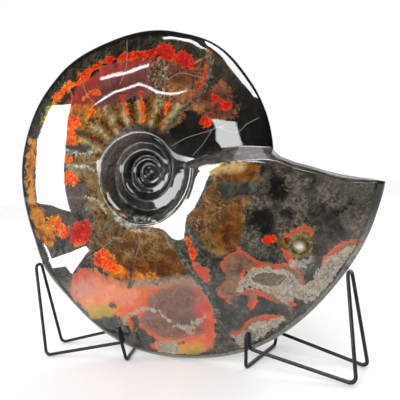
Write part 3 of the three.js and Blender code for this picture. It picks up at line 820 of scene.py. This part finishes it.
class Shader:
    """Short names for the nodes of one material."""

    def __init__(self, name):
        self.material = bpy.data.materials.new(name)
        self.material.use_nodes = True
        self.tree = self.material.node_tree
        self.place = self.node("ShaderNodeTexCoord").outputs["Object"]

    def node(self, kind, **values):
        made = self.tree.nodes.new(kind)
        for key, value in values.items():
            setattr(made, key, value)
        return made

    def put(self, socket, value):
        if isinstance(value, bpy.types.NodeSocket):
            self.tree.links.new(value, socket)
        else:
            socket.default_value = value

    def surface(self, values):
        """The finished material, with these values in its surface shader."""
        principled = self.tree.nodes["Principled BSDF"]
        for name, value in values.items():
            self.put(principled.inputs[name], value)
        return self.material

    def math(self, operation, a, b=0.0):
        made = self.node("ShaderNodeMath", operation=operation)
        self.put(made.inputs[0], a)
        self.put(made.inputs[1], b)
        return made.outputs[0]

    def product(self, first, *others):
        for other in others:
            first = self.math("MULTIPLY", first, other)
        return first

    def weighted(self, a, a_share, b, b_share):
        """Two values added, each times its share."""
        return self.math("ADD", self.product(a, a_share), self.product(b, b_share))

    def pushed(self, value, noise, amount):
        """The value pushed up and down by a noise."""
        return self.math("ADD", value, self.product(self.math("SUBTRACT", noise, NOISE_MIDDLE), amount))

    def apart(self, value, other):
        """How far a value is from another."""
        return self.math("ABSOLUTE", self.math("SUBTRACT", value, other))

    def spread(self, value, low, high):
        """The value from low to high as 0 to 1."""
        made = self.node("ShaderNodeMapRange")
        self.put(made.inputs["Value"], value)
        self.put(made.inputs["From Min"], low)
        self.put(made.inputs["From Max"], high)
        return made.outputs["Result"]

    def attribute(self, name):
        return self.node("ShaderNodeAttribute", attribute_name=name).outputs["Fac"]

    def split(self, vector):
        """The three parts of a place or colour."""
        made = self.node("ShaderNodeSeparateXYZ")
        self.put(made.inputs[0], vector)
        return made.outputs

    def noise(self, size, detail=5.0, roughness=0.6, distortion=0.0):
        return self.noise_at(self.place, size * MM, detail, roughness, distortion)

    def noise_at(self, place, size, detail, roughness, distortion):
        made = self.node("ShaderNodeTexNoise")
        self.put(made.inputs["Vector"], place)
        self.put(made.inputs["Scale"], 1 / size)
        self.put(made.inputs["Detail"], detail)
        self.put(made.inputs["Roughness"], roughness)
        self.put(made.inputs["Distortion"], distortion)
        return made.outputs["Fac"]

    def warped(self, size, amount):
        """The object's place pushed about by noise."""
        cloud = self.node("ShaderNodeTexNoise")
        self.put(cloud.inputs["Vector"], self.place)
        self.put(cloud.inputs["Scale"], 1 / (size * MM))
        push = self.node("ShaderNodeVectorMath", operation="MULTIPLY_ADD")
        self.put(push.inputs[0], cloud.outputs["Color"])
        self.put(push.inputs[1], (amount * MM,) * 3)
        self.put(push.inputs[2], self.place)
        return push.outputs[0]

    def cells(self, size, place, feature="F1"):
        """Irregular cells, of this size in millimetres."""
        made = self.node("ShaderNodeTexVoronoi", feature=feature)
        self.put(made.inputs["Vector"], place)
        self.put(made.inputs["Scale"], 1 / (size * MM))
        return made.outputs

    def cell_edge(self, size, place):
        """Distance to the nearest edge between cells, in cell sizes."""
        return self.cells(size, place, "DISTANCE_TO_EDGE")["Distance"]

    def ramp(self, value, stops):
        """A colour that follows the value through these stops."""
        made = self.node("ShaderNodeValToRGB")
        self.put(made.inputs["Fac"], value)
        elements = made.color_ramp.elements
        while len(elements) < len(stops):
            elements.new(0.5)
        for element, (position, colour) in zip(elements, stops.items()):
            element.position = position
            element.color = linear(colour)
        return made.outputs["Color"]

    def mix(self, share, below, above):
        made = self.node("ShaderNodeMix", data_type="RGBA")
        self.put(made.inputs["Factor"], share)
        self.put(made.inputs[6], below)
        self.put(made.inputs[7], above)
        return made.outputs[2]

    def tint(self, below, share, strength, colour):
        """One colour laid over what is below, where the share is high."""
        return self.mix(self.product(share, strength), below, linear(colour))

    def bump(self, height, distance_mm, strength):
        made = self.node("ShaderNodeBump")
        self.put(made.inputs["Height"], height)
        self.put(made.inputs["Distance"], distance_mm * MM)
        self.put(made.inputs["Strength"], strength)
        return made.outputs["Normal"]


class ShellShader(Shader):
    """The polished shell's nodes, with the noises and places that its colours share."""

    def __init__(self):
        super().__init__("polished_shell")
        self.coarse = self.noise(24, 6, 0.6, 0.8)
        self.middle = self.noise(7, 8, 0.68, 0.7)
        self.fine = self.noise(2.2, 4, 0.55, 0.6)
        self.swirl = self.noise(5, 3, 0.5, 1.6)
        self.edge_noise = self.weighted(self.middle, 0.7, self.fine, 0.3)
        self.pits = self.cells(2.4, self.warped(6, 4))["Distance"]
        self.cracks = self.cell_edge(9, self.warped(4, 7))
        crystals = self.warped(2, 3)
        self.hair = self.cell_edge(3.4, crystals)
        self.crystal = self.split(self.cells(3.4, crystals)["Color"])[0]
        self.turn = self.attribute("turn")
        self.reach = self.attribute("reach")
        self.hue = self.attribute("nacre_hue")
        polar = self.node("ShaderNodeCombineXYZ")
        self.put(polar.inputs[0], self.product(self.turn, RADIAL_PER_DEGREE))
        self.put(polar.inputs[1], self.product(self.reach, RADIAL_PER_MM))
        self.radial = self.noise_at(polar.outputs[0], 1, 5, 0.6, 0.5)
        self.across, _, self.height = self.split(self.place)
        self.late = self.math("GREATER_THAN", self.turn, HALF_TURN)
        self.mouth_side = self.spread(self.across, *MOUTH_SIDE)
        self.chamber = self.product(self.mouth_side, self.late)
        self.pale_curls = self.product(self.curls(self.swirl, 9, 0.13), self.spread(self.coarse, 0.47, 0.56))
        self.milky_hue = self.pushed(self.hue, self.middle, 0.8)

    def curls(self, value, bands, width):
        """Thin lines that follow the noise like the bands of an agate."""
        banded = self.math("FRACT", self.product(value, bands))
        return self.spread(self.apart(banded, 0.5), width, width * 0.4)

    def depth(self, name):
        """How far inside a marking a place is, with a ragged edge."""
        return self.pushed(self.attribute(name), self.edge_noise, EDGE_PUSH * MARKINGS[name]["ragged"])

    def lay(self, below, name, above, strength=1.0, border=None):
        """A marking's colour over what lies below, with a thin line of the border colour round it."""
        depth = self.depth(name)
        soft = MARKINGS[name]["soft"]
        colour = self.mix(self.product(self.spread(depth, -soft, soft), strength), below, above)
        if border is None:
            return colour
        line = self.spread(self.math("ABSOLUTE", depth), *BORDER_EDGE)
        return self.tint(colour, line, BORDER_STRENGTH, border)


def dark_rock(s):
    """Olive black at the rim, greyer below, mottled towards the mouth, with pale curls and streaks."""
    rock = s.ramp(s.middle, {0.34: 0x0C0B08, 0.46: 0x1F1C13, 0.56: 0x2F2A1C, 0.7: 0x4A4330})
    low = s.ramp(s.middle, {0.36: 0x211E1B, 0.47: 0x35312D, 0.56: 0x4A4540, 0.7: 0x6E665C})
    mouth = s.ramp(s.middle, {0.36: 0x0D0B09, 0.45: 0x241C16, 0.52: 0x39312A, 0.6: 0x4C453B, 0.72: 0x7A7062})
    tip = s.ramp(s.coarse, {0.4: 0x2A2927, 0.6: 0x454340})
    colour = s.mix(s.spread(s.height, *LOW_ROCK_HEIGHT), rock, low)
    colour = s.mix(s.chamber, colour, mouth)
    colour = s.mix(s.product(s.spread(s.across, *TIP_SIDE), s.late, 0.75), colour, tip)
    colour = s.tint(colour, s.product(s.chamber, s.spread(s.middle, 0.52, 0.6)), 0.5, 0x3C4038)
    colour = s.tint(colour, s.product(s.chamber, s.pale_curls), 0.45, 0x948A78)
    streaky = s.product(s.spread(s.hair, 0.05, 0.015), s.spread(s.coarse, 0.5, 0.6))
    return s.tint(colour, streaky, 0.45, 0x7A7263)


def mauve_window(s):
    mauve = s.ramp(s.radial, {0.3: 0x482C2A, 0.45: 0x5C3936, 0.55: 0x683F3C, 0.7: 0x784445})
    return s.tint(mauve, s.spread(s.coarse, 0.5, 0.64), 0.7, 0x8C2A20)


def amber_window(s):
    amber = s.ramp(s.middle, {0.34: 0x170B06, 0.44: 0x4A2210, 0.52: 0x73401B, 0.6: 0x8A5A30, 0.72: 0xA5825C})
    amber = s.tint(amber, s.spread(s.radial, 0.54, 0.62), 0.8, 0x9A2410)
    return s.tint(amber, s.spread(s.hair, 0.035, 0.01), 0.5, 0xA39478)


def rib_bands(s):
    phase = s.weighted(s.turn, RIB_PITCH, s.coarse, RIB_BEND)
    wave = s.pushed(s.math("SINE", phase), s.middle, RIB_BREAKS)
    return s.ramp(s.weighted(wave, 0.24, s.fine, 0.9), {
        0.12: 0x2E1E0E, 0.3: 0x5E3C14, 0.42: 0x86581E, 0.5: 0x564526, 0.6: 0x7E6E4A, 0.72: 0x90805A,
        0.86: 0xA8986E,
    })


def brown_stone(s):
    brown = s.ramp(s.middle, {0.34: 0x2C1806, 0.44: 0x54330F, 0.52: 0x6E4C20, 0.6: 0x806239, 0.74: 0xA08A62})
    brown = s.tint(brown, s.spread(s.coarse, 0.48, 0.6), 0.8, 0x4E2606)
    return s.tint(brown, s.spread(s.cracks, 0.024, 0.006), 0.55, 0xA08F6C)


def clear_nacre(s):
    """From crimson through orange to green, with flecks, dark crystals and cracks."""
    hue = s.pushed(s.pushed(s.hue, s.fine, 0.8), s.crystal, 0.34)
    hue = s.math("ADD", hue, s.product(s.spread(s.depth("nacre"), 1.6, 0), 0.28))
    fire = s.ramp(hue, {
        0.0: 0xA80A08, 0.15: 0xDA180A, 0.3: 0xF03A10, 0.5: 0xFC6E12, 0.68: 0xF0A020, 0.85: 0xD0B030,
        1.0: 0x7A9A3A,
    })
    fleck = s.product(s.spread(s.fine, 0.58, 0.66), s.spread(s.hue, 0.04, 0.3))
    fire = s.tint(fire, fleck, 0.7, 0xF0B040)
    fire = s.tint(fire, s.spread(s.crystal, 0.6, 0.95), 0.45, 0x6A1006)
    fire = s.tint(fire, s.spread(s.hair, 0.09, 0.02), 0.6, 0x4A1008)
    return s.tint(fire, s.spread(s.middle, 0.5, 0.36), 0.6, 0x4A1A0C)


def milky_nacre(s):
    milky = s.ramp(s.milky_hue, {
        0.0: 0x9A3A36, 0.2: 0xB64636, 0.36: 0xCC5A32, 0.52: 0xD07434, 0.7: 0xB88A36, 1.0: 0x6E7E34,
    })
    milky = s.tint(milky, s.spread(s.coarse, 0.52, 0.64), 0.4, 0x8A6458)
    return s.tint(milky, s.spread(s.fine, 0.54, 0.68), 0.3, 0x6A5A50)


def red_flow(s):
    """Brown inside, with a red edge."""
    brown = s.ramp(s.middle, {0.35: 0x4A342A, 0.46: 0x6E5242, 0.56: 0x7E604C, 0.66: 0x92624A, 0.76: 0x9C8068})
    red = s.ramp(s.fine, {0.35: 0x8A3020, 0.5: 0xB8442A, 0.65: 0xD05A34})
    return s.mix(s.product(s.spread(s.depth("red_flow"), 3.4, 1.2), 0.85), brown, red)


def grey_stone(s):
    grey = s.ramp(s.middle, {0.38: 0x1E1E1D, 0.52: 0x32332E, 0.62: 0x464840, 0.74: 0x6A675E})
    return s.tint(grey, s.product(s.pale_curls, s.mouth_side), 0.7, 0xA8A490)


def cream_crumbs(s):
    crumbs = s.ramp(s.weighted(s.middle, 0.5, s.fine, 0.5), {
        0.38: 0x2C2723, 0.45: 0x584F46, 0.52: 0x7C7062, 0.58: 0x988D7C, 0.66: 0xB4AA98,
    })
    crumbs = s.tint(crumbs, s.curls(s.swirl, 13, 0.22), 0.8, 0xCAC1AE)
    return s.tint(crumbs, s.curls(s.middle, 12, 0.14), 0.6, 0x3E362F)


def pearl(s):
    # Pale silver in the middle and darker at the edge: the pearl's colour with a painted highlight on its
    # dome
    level = s.pushed(s.spread(s.attribute("pearl"), 0, 8), s.middle, 1.5)
    return s.ramp(level, {0.0: 0x544A36, 0.35: 0x8E846E, 0.8: 0xDAD4C8})


def marking_layers(s):
    """The markings' colours from the lowest to the highest: name, colour, strength and border."""
    milky = milky_nacre(s)
    return [
        ("black", s.ramp(s.middle, {0.38: 0x050504, 0.52: 0x110F0C, 0.64: 0x221D16})),
        ("mauve", mauve_window(s)),
        ("amber", amber_window(s)),
        ("umber", s.ramp(s.fine, {0.35: 0x1C0E0A, 0.5: 0x3E2018, 0.65: 0x5E3226}), 0.7),
        ("tan_column", s.ramp(s.fine, {0.4: 0x2A1812, 0.52: 0x54402F, 0.6: 0x8A7A60, 0.72: 0xB2A68C}), 0.8),
        ("red_glow", s.ramp(s.weighted(s.radial, 0.4, s.middle, 0.6), {
            0.36: 0x6A2420, 0.5: 0x8E2A22, 0.6: 0xB02C1E, 0.72: 0xC8481E,
        }), 0.8),
        ("ribs", rib_bands(s)),
        ("gold_glow", s.ramp(s.middle, {
            0.36: 0x3A2410, 0.46: 0x7A4A14, 0.56: 0xB0701C, 0.68: 0xD89A34,
        }), 0.85),
        ("olive", s.ramp(s.middle, {
            0.34: 0x1A160E, 0.43: 0x4A371A, 0.5: 0x7C5828, 0.56: 0x66634C, 0.68: 0x97896A,
        })),
        ("edge_amber", s.ramp(s.middle, {
            0.34: 0x4A240A, 0.45: 0x94520F, 0.54: 0xB87420, 0.64: 0xA08248, 0.76: 0x8E8468,
        })),
        ("grey_mauve", s.ramp(s.fine, {0.3: 0x3A312D, 0.6: 0x574C47})),
        ("brown", brown_stone(s), 1, 0x4A4738),
        ("cream_top", s.ramp(s.fine, {0.3: 0x8A6C34, 0.6: 0xBEA26C})),
        ("brown_deep", s.ramp(s.middle, {0.35: 0x2A1204, 0.5: 0x5A300A, 0.62: 0x7E4A0C, 0.74: 0x9A640F})),
        ("pearl_pink", milky, 1, 0x7C7866),
        ("red_flow", red_flow(s), 1, 0xC85234),
        # Lighter salmon over the pink nacre: a painted highlight
        ("salmon_painted_highlight", s.ramp(s.milky_hue, {
            0.1: 0x9A665C, 0.3: 0xBC7A68, 0.45: 0xD67E58, 0.6: 0xDE946A,
        }), 0.9),
        ("orange_band", s.ramp(s.weighted(s.radial, 0.6, s.middle, 0.4), {
            0.38: 0x74360A, 0.46: 0xAE5A0E, 0.54: 0xD0761A, 0.64: 0xE8942E,
        }), 0.9),
        ("olive_mist", s.ramp(s.fine, {0.35: 0x7A6654, 0.6: 0x9C846E}), 0.8),
        ("smoky", s.ramp(s.middle, {0.36: 0x463A34, 0.5: 0x5C4E46, 0.6: 0x6E5A50, 0.72: 0x966C60}), 0.9),
        ("fringe", milky),
        ("nacre", clear_nacre(s)),
        ("dark_grey", grey_stone(s)),
        ("haze", s.ramp(s.fine, {0.36: 0x2E2822, 0.5: 0x5E554A, 0.66: 0x8C8272}), 0.55),
        ("cream_mottle", cream_crumbs(s), 1, 0x9A907C),
        ("cream_heart", s.ramp(s.fine, {0.3: 0x4A3E34, 0.7: 0x6E6050}), 1, 0xB0A690),
        ("suture", s.ramp(s.fine, {0.34: 0x24261F, 0.5: 0x43453B, 0.66: 0x6C6D5C})),
        ("pearl_ring", s.ramp(s.fine, {0.3: 0x46482E, 0.6: 0x7C7A58})),
        ("pearl", pearl(s)),
        ("pale_streaks", s.ramp(s.fine, {0.35: 0x5E6056, 0.5: 0x96978A, 0.65: 0xCCCCC0}), 0.8),
    ]


def inner_coils(s, below):
    """The small inner coils: black, with a painted grey mauve shine, a highlight, on the upper left."""
    inner = s.pushed(s.reach, s.middle, COILS_WANDER)
    coils = s.ramp(s.middle, {0.4: 0x0A0A08, 0.56: 0x1E1C18, 0.7: 0x383430})
    # Grey mauve on the upper left of the coils: a painted highlight
    shine = s.spread(s.apart(s.turn, COILS_SHINE_ANGLE), *COILS_SHINE_EDGE)
    shine = s.product(shine, s.spread(inner, *COILS_SHINE_REACH))
    coils = s.mix(shine, coils, s.ramp(s.fine, {0.35: 0x3A332F, 0.6: 0x665C56}))
    return s.mix(s.product(s.spread(inner, *COILS_REACH), 0.92), below, coils)


def pale_veins(s, below):
    line = s.math("ABSOLUTE", s.pushed(s.attribute("vein_side"), s.edge_noise, 1))
    near = s.spread(s.attribute("vein_near"), *VEIN_NEAR)
    return s.tint(below, s.product(s.spread(line, *VEIN_EDGE), near), 0.6, 0x8C8474)


def black_rim_and_floor_reflection(s, below):
    """A black rim, and along the bottom a pale band that is a painted reflection of the bright floor, with a
    thin dark line inside it.
    """
    place = s.pushed(s.attribute("rim_depth"), s.middle, RIM_WANDER)
    bottom = s.spread(s.height, *RIM_BOTTOM)
    black = s.product(s.spread(place, *RIM_BLACK), s.math("SUBTRACT", 1.0, bottom))
    colour = s.tint(below, black, 0.85, 0x0B0A08)
    # Pale band along the bottom of the rim: painted reflection of the bright floor
    pale = s.product(s.spread(place, *RIM_FLOOR_REFLECTION), bottom, 0.8)
    colour = s.mix(pale, colour, s.ramp(s.fine, {0.3: 0x5A5550, 0.7: 0x8A847C}))
    line = s.product(s.spread(place, *RIM_DARK_INSIDE), s.spread(place, *RIM_DARK_OUTSIDE), bottom)
    return s.tint(colour, line, 0.8, 0x141210)


def shell_material():
    s = ShellShader()
    colour = dark_rock(s)
    for layer in marking_layers(s):
        colour = s.lay(colour, *layer)
    colour = black_rim_and_floor_reflection(s, pale_veins(s, inner_coils(s, colour)))
    coat = s.product(s.spread(s.reach, *COAT_FULL_REACH), 1 - COAT_IN_COILS)
    return s.surface({
        "Base Color": colour,
        "Roughness": s.spread(s.fine, *POLISHED),
        "Coat Weight": s.math("ADD", coat, COAT_IN_COILS),
        "Coat Roughness": 0.02,
        "Coat IOR": 1.5,
        "Specular IOR Level": 0.03,
        "Normal": s.bump(s.weighted(s.pits, 0.3, s.fine, 1), 0.12, 0.5),
        "Coat Normal": s.bump(s.middle, 0.02, 0.5),
    })


def mouth_material():
    s = Shader("mouth_face")
    middle = s.noise(9, 7, 0.6, 0.4)
    fine = s.noise(1.6)
    colour = s.ramp(middle, {0.3: 0x1E1A19, 0.48: 0x332D2C, 0.6: 0x4A4340, 0.75: 0x6E6661})
    return s.surface({
        "Base Color": s.tint(colour, s.spread(fine, 0.55, 0.75), 0.4, 0x8C867A),
        "Roughness": s.spread(fine, *POLISHED),
        "Coat Weight": 0.15,
        "Coat Roughness": 0.05,
        "Coat IOR": 1.5,
        "Specular IOR Level": 0.05,
        "Normal": s.bump(fine, 0.1, 0.5),
    })


def wire_material():
    s = Shader("black_wire")
    grain = s.noise(0.5, 3)
    return s.surface({
        "Base Color": s.ramp(s.noise(6), {0.35: 0x060607, 0.6: 0x121214, 0.8: 0x242427}),
        "Roughness": s.spread(grain, -0.5, 2.2),
        "Coat Weight": 0.15,
        "Coat Roughness": 0.2,
        "Specular IOR Level": 0.2,
        "Normal": s.bump(grain, 0.03, 0.6),
    })


def floor_material():
    s = Shader("white_floor")
    cloud = s.noise(60, 3)
    return s.surface({
        "Base Color": s.ramp(cloud, {0.3: 0xF4F4F4, 0.7: 0xF8F8F8}),
        "Roughness": s.spread(cloud, -1.2, 1.8),
        "Specular IOR Level": 0.2,
    })


def dark_reflection_sheet_material():
    """A dark sheet that only reflections see: painted shade in the shell's reflection of the table in front.
    It fades out along its near edge, which turns away beside the shell's tip.
    """
    s = Shader("dark_reflection_sheet")
    across, along, _ = s.split(s.place)
    past_tip = s.math("MAXIMUM", s.math("SUBTRACT", across, SHEET_TIP), 0.0)
    edge = s.math("ADD", along, s.weighted(across, SHEET_EDGE_SLOPE, past_tip, SHEET_TIP_SLOPE))
    return s.surface({
        # Dark grey that only reflections see: painted shade in the shell's reflections
        "Base Color": s.ramp(s.noise(3, 3), {0.3: 0x1C1C1C, 0.7: 0x2A2A2A}),
        "Roughness": 0.9,
        "Alpha": s.spread(edge, *SHEET_FADE),
    })


# Lights. A reflection card is cut to the shape that its reflection has on the shell in the photograph:
# the sight line of each outline pixel is mirrored in the shell and followed to the card's distance, or for
# a card that lies on the table, down to the table. Each is given as its strength and its outline.

CARD_DISTANCE = 900
NEAR_CARDS = {"rim_right": 320, "vertical_a": 400}
TABLE_CARDS = ("left_low", "shoulder")
CARD_LOWEST = 3
TABLE_SLOPE = 0.06
MARCH_STEPS = 500
MARCH_FRONT = -40
NORMAL_STEP = 0.4
CARDS = {
    "left_window": (26, [
        (38, 140), (43, 126), (52, 106), (71, 104), (67, 122), (66, 140), (64, 160), (64, 184), (67, 200),
        (71, 213), (62, 209), (52, 205), (38, 203), (36, 185), (37, 160),
    ]),
    "left_low": (24, [
        (43, 243), (48, 254), (53, 268), (66, 266), (72, 274), (80, 262), (89, 250), (86, 246), (72, 252),
        (52, 259), (47, 248),
    ]),
    "shoulder": (30, [
        (196, 174), (202, 171), (210, 173), (206, 182), (200, 196), (194, 208), (187, 215), (185, 224),
        (184, 238), (178, 240), (172, 238), (164, 230), (156, 227), (166, 219), (178, 209), (187, 198),
        (192, 184),
    ]),
    "square": (15, [
        (212, 119), (236, 122), (239, 134), (243, 146), (222, 148), (216, 140), (216, 128),
    ]),
    "streak_a": (24, [
        (100, 78), (112, 74), (125, 72), (138, 67), (149, 64), (149, 66.5), (138, 70), (125, 74.5),
        (112, 77), (101, 80),
    ]),
    "streak_b": (24, [
        (92, 107), (103, 98), (115, 91), (128, 87), (139, 83), (148, 86), (158, 91), (170, 93), (180, 92),
        (189, 89), (180, 94), (170, 95), (158, 93.5), (148, 88), (139, 85), (128, 89), (115, 93),
        (103, 100),
    ]),
    "streak_c": (24, [
        (163, 37.5), (178, 37.5), (190, 39.5), (200, 45), (208, 50), (200, 47.5), (190, 42), (178, 39.5),
        (164, 39),
    ]),
    "shoulder_top": (28, [
        (197, 168), (206, 165), (221, 164), (213, 169), (208, 172), (200, 171),
    ]),
    "rim_right": (22, [
        (205, 41), (213, 45), (222, 51), (232, 61), (240, 71), (248, 82), (258, 98), (254, 97), (244, 84),
        (236, 74), (228, 64), (218, 53), (208, 46),
    ]),
    "vertical_a": (20, [
        (97, 160), (102, 160), (102, 170), (99, 180), (97, 172),
    ]),
}

SUN_POWER = 3.0
SUN_WIDTH = np.radians(100)
SUN_DIRECTION = (0.35, 0.55, -0.95)
AREA_TARGET = (0, 0, 0.12)
AREAS = [
    {"name": "front_fill", "place": (-0.3, -1.6, 0.7), "size": (1.2, 1.0), "power": 9, "in_gloss": False},
    {"name": "back_softbox", "place": (0.7, 1.5, 0.9), "size": (0.7, 1.0), "power": 12, "in_gloss": True},
]
ROOM_DEPTH = (0.05, 0.6)
ROOM_LIGHT = (0.02, 0.9)
FLOOR_HALF = 6000
# Height and outline of the dark sheet that paints shade into the shell's reflections
SHEET_HEIGHT = 1
SHEET_CORNERS = [(-3000, -5000), (3000, -5000), (3000, -170), (300, -157), (-400, -3), (-3000, -3)]


def shell_hit(x, y):
    """Where the sight line of a pixel meets the shell's front, with the line and the shell's normal there."""
    ray = pixel_ray(x, y)
    start = np.array(CAMERA_PLACE) - AXIS
    near, far = (MARCH_FRONT - start[1]) / ray[1], -start[1] / ray[1]
    places = start + np.linspace(near, far, MARCH_STEPS)[:, None] * ray
    under = -places[:, 1] <= front_height(places[:, 0], places[:, 2])
    place = places[int(np.argmax(under))]
    u, v = place[0], place[2]
    slopes = [
        (front_height(u + du, v + dv) - front_height(u - du, v - dv)) / (2 * NORMAL_STEP)
        for du, dv in ((NORMAL_STEP, 0), (0, NORMAL_STEP))
    ]
    normal = np.array([-slopes[0], -1, -slopes[1]], float)
    return place, ray, normal / np.linalg.norm(normal)


def glowing(name, strength):
    material = bpy.data.materials.new(name)
    material.use_nodes = True
    nodes = material.node_tree.nodes
    nodes.remove(nodes["Principled BSDF"])
    glow = nodes.new("ShaderNodeEmission")
    glow.inputs["Strength"].default_value = strength
    material.node_tree.links.new(glow.outputs[0], nodes["Material Output"].inputs["Surface"])
    return material


def stage_sheet(name, corners, material, reflections_only):
    """A flat stage piece. One for reflections only is seen by no other rays."""
    sheet = mesh_object(name, corners, [tuple(range(len(corners)))])
    sheet.data.materials.append(material)
    if reflections_only:
        sheet.visible_camera = False
        sheet.visible_diffuse = False
        sheet.visible_shadow = False


def add_card(name, strength, outline):
    corners = []
    for x, y in outline:
        place, ray, normal = shell_hit(x, y)
        mirrored = ray - 2 * (ray @ normal) * normal
        start = place + AXIS
        away = NEAR_CARDS.get(name, CARD_DISTANCE)
        if name in TABLE_CARDS:
            away = (CARD_LOWEST - start[2]) / min(mirrored[2], -TABLE_SLOPE)
        corners.append(start + mirrored * away)
    stage_sheet("card_" + name, corners, glowing("card_" + name, strength), reflections_only=True)


def add_light(name, kind, power, direction, place=(0, 0, 0), in_gloss=False):
    light = bpy.data.lights.new(name, kind)
    light.energy = power
    obj = bpy.data.objects.new(name, light)
    obj.location = place
    obj.rotation_euler = Vector(direction).to_track_quat("-Z", "Y").to_euler()
    obj.visible_glossy = in_gloss
    bpy.context.scene.collection.objects.link(obj)
    return obj


def add_lights():
    sun = add_light("soft_sun", "SUN", SUN_POWER, SUN_DIRECTION)
    sun.data.angle = SUN_WIDTH
    for area in AREAS:
        direction = Vector(AREA_TARGET) - Vector(area["place"])
        obj = add_light(area["name"], "AREA", area["power"], direction, area["place"], area["in_gloss"])
        obj.data.shape = "RECTANGLE"
        obj.data.size, obj.data.size_y = area["size"]
        obj.visible_camera = False


def make_world():
    """White behind the object for the camera, a dim room in front of it for reflections."""
    world = bpy.data.worlds.new("room")
    bpy.context.scene.world = world
    world.use_nodes = True
    nodes, links = world.node_tree.nodes, world.node_tree.links
    background = nodes["Background"]
    background.inputs["Color"].default_value = (1, 1, 1, 1)
    place = nodes.new("ShaderNodeTexCoord")
    separate = nodes.new("ShaderNodeSeparateXYZ")
    links.new(place.outputs["Generated"], separate.inputs[0])
    room = nodes.new("ShaderNodeMapRange")
    links.new(separate.outputs[1], room.inputs["Value"])
    for key, value in zip(("From Min", "From Max", "To Min", "To Max"), ROOM_DEPTH + ROOM_LIGHT):
        room.inputs[key].default_value = value
    seen = nodes.new("ShaderNodeLightPath")
    pick = nodes.new("ShaderNodeMix")
    links.new(seen.outputs["Is Camera Ray"], pick.inputs[0])
    links.new(room.outputs["Result"], pick.inputs[2])
    pick.inputs[3].default_value = 1.0
    links.new(pick.outputs[0], background.inputs["Strength"])


def make_camera():
    right, up, forward = camera_axes()
    data = bpy.data.cameras.new("camera")
    data.sensor_fit = "HORIZONTAL"
    data.sensor_width = SENSOR_WIDTH
    data.lens = CAMERA_LENS
    data.clip_start = 0.01
    camera = bpy.data.objects.new("camera", data)
    matrix = Matrix.Identity(4)
    for column, axis in enumerate((right, up, -forward, np.array(CAMERA_PLACE) * MM)):
        for row in range(3):
            matrix[row][column] = axis[row]
    camera.matrix_world = matrix
    bpy.context.scene.collection.objects.link(camera)
    bpy.context.scene.camera = camera


make_camera()
bpy.context.scene.view_settings.view_transform = "Standard"

ammonite = make_ammonite()
ammonite.data.materials.append(shell_material())
ammonite.data.materials.append(mouth_material())
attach(ammonite, "root")
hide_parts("ammonite")

wire = wire_material()
for stand in STANDS:
    loop = make_stand(stand)
    loop.data.materials.append(wire)
    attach(loop, "root")
    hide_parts(stand["name"])

# The floor, and a dark sheet on the table in front, which only reflections see: painted shade in the shell's
# reflections
floor_corners = [(x * FLOOR_HALF, y * FLOOR_HALF, 0) for x, y in ((-1, -1), (1, -1), (1, 1), (-1, 1))]
stage_sheet("floor", floor_corners, floor_material(), reflections_only=False)
sheet_corners = [(x, y, SHEET_HEIGHT) for x, y in SHEET_CORNERS]
stage_sheet("dark_reflection_sheet", sheet_corners, dark_reflection_sheet_material(), reflections_only=True)

make_world()
add_lights()
for name, (strength, outline) in CARDS.items():
    add_card(name, strength, outline)
